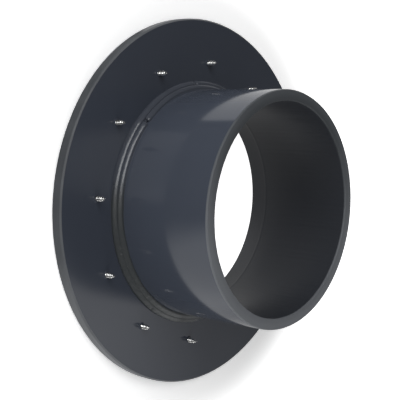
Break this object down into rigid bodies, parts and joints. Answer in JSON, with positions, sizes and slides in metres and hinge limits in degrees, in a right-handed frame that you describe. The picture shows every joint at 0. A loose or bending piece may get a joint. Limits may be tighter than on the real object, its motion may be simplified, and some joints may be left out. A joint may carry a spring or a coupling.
{
  "type": "pvc pipe flange",
  "caption": "Flat round flange welded to a short grey PVC pipe stub, with a ring of countersunk screws whose points stand out of its face.",
  "frame": {"origin": "centre of the flange's back face", "axes": "+Z along the pipe, from the back face towards the mouth; +X through the first screw"},
  "size_m": [0.258, 0.258, 0.085],
  "materials": {
    "sheet_pvc": "smooth dark grey PVC sheet with a satin gloss, sawn and scraped edges",
    "pipe_pvc": "extruded dark grey PVC pipe, satin gloss with faint draw lines",
    "weld_pvc": "melted dark grey PVC welding rod, glossy where smooth",
    "screw_steel": "bright stainless steel"
  },
  "bodies": {
    "root": {"flange_ring": "sheet_pvc", "pipe_stub": "pipe_pvc", "weld_root_strand": "weld_pvc", "weld_flange_strand": "weld_pvc", "weld_pipe_strand": "weld_pvc", "screw_01": "screw_steel", "screw_02": "screw_steel", "screw_03": "screw_steel", "screw_04": "screw_steel", "screw_05": "screw_steel", "screw_06": "screw_steel", "screw_07": "screw_steel", "screw_08": "screw_steel", "screw_09": "screw_steel", "screw_10": "screw_steel", "screw_11": "screw_steel", "screw_12": "screw_steel"}
  },
  "joints": []
}
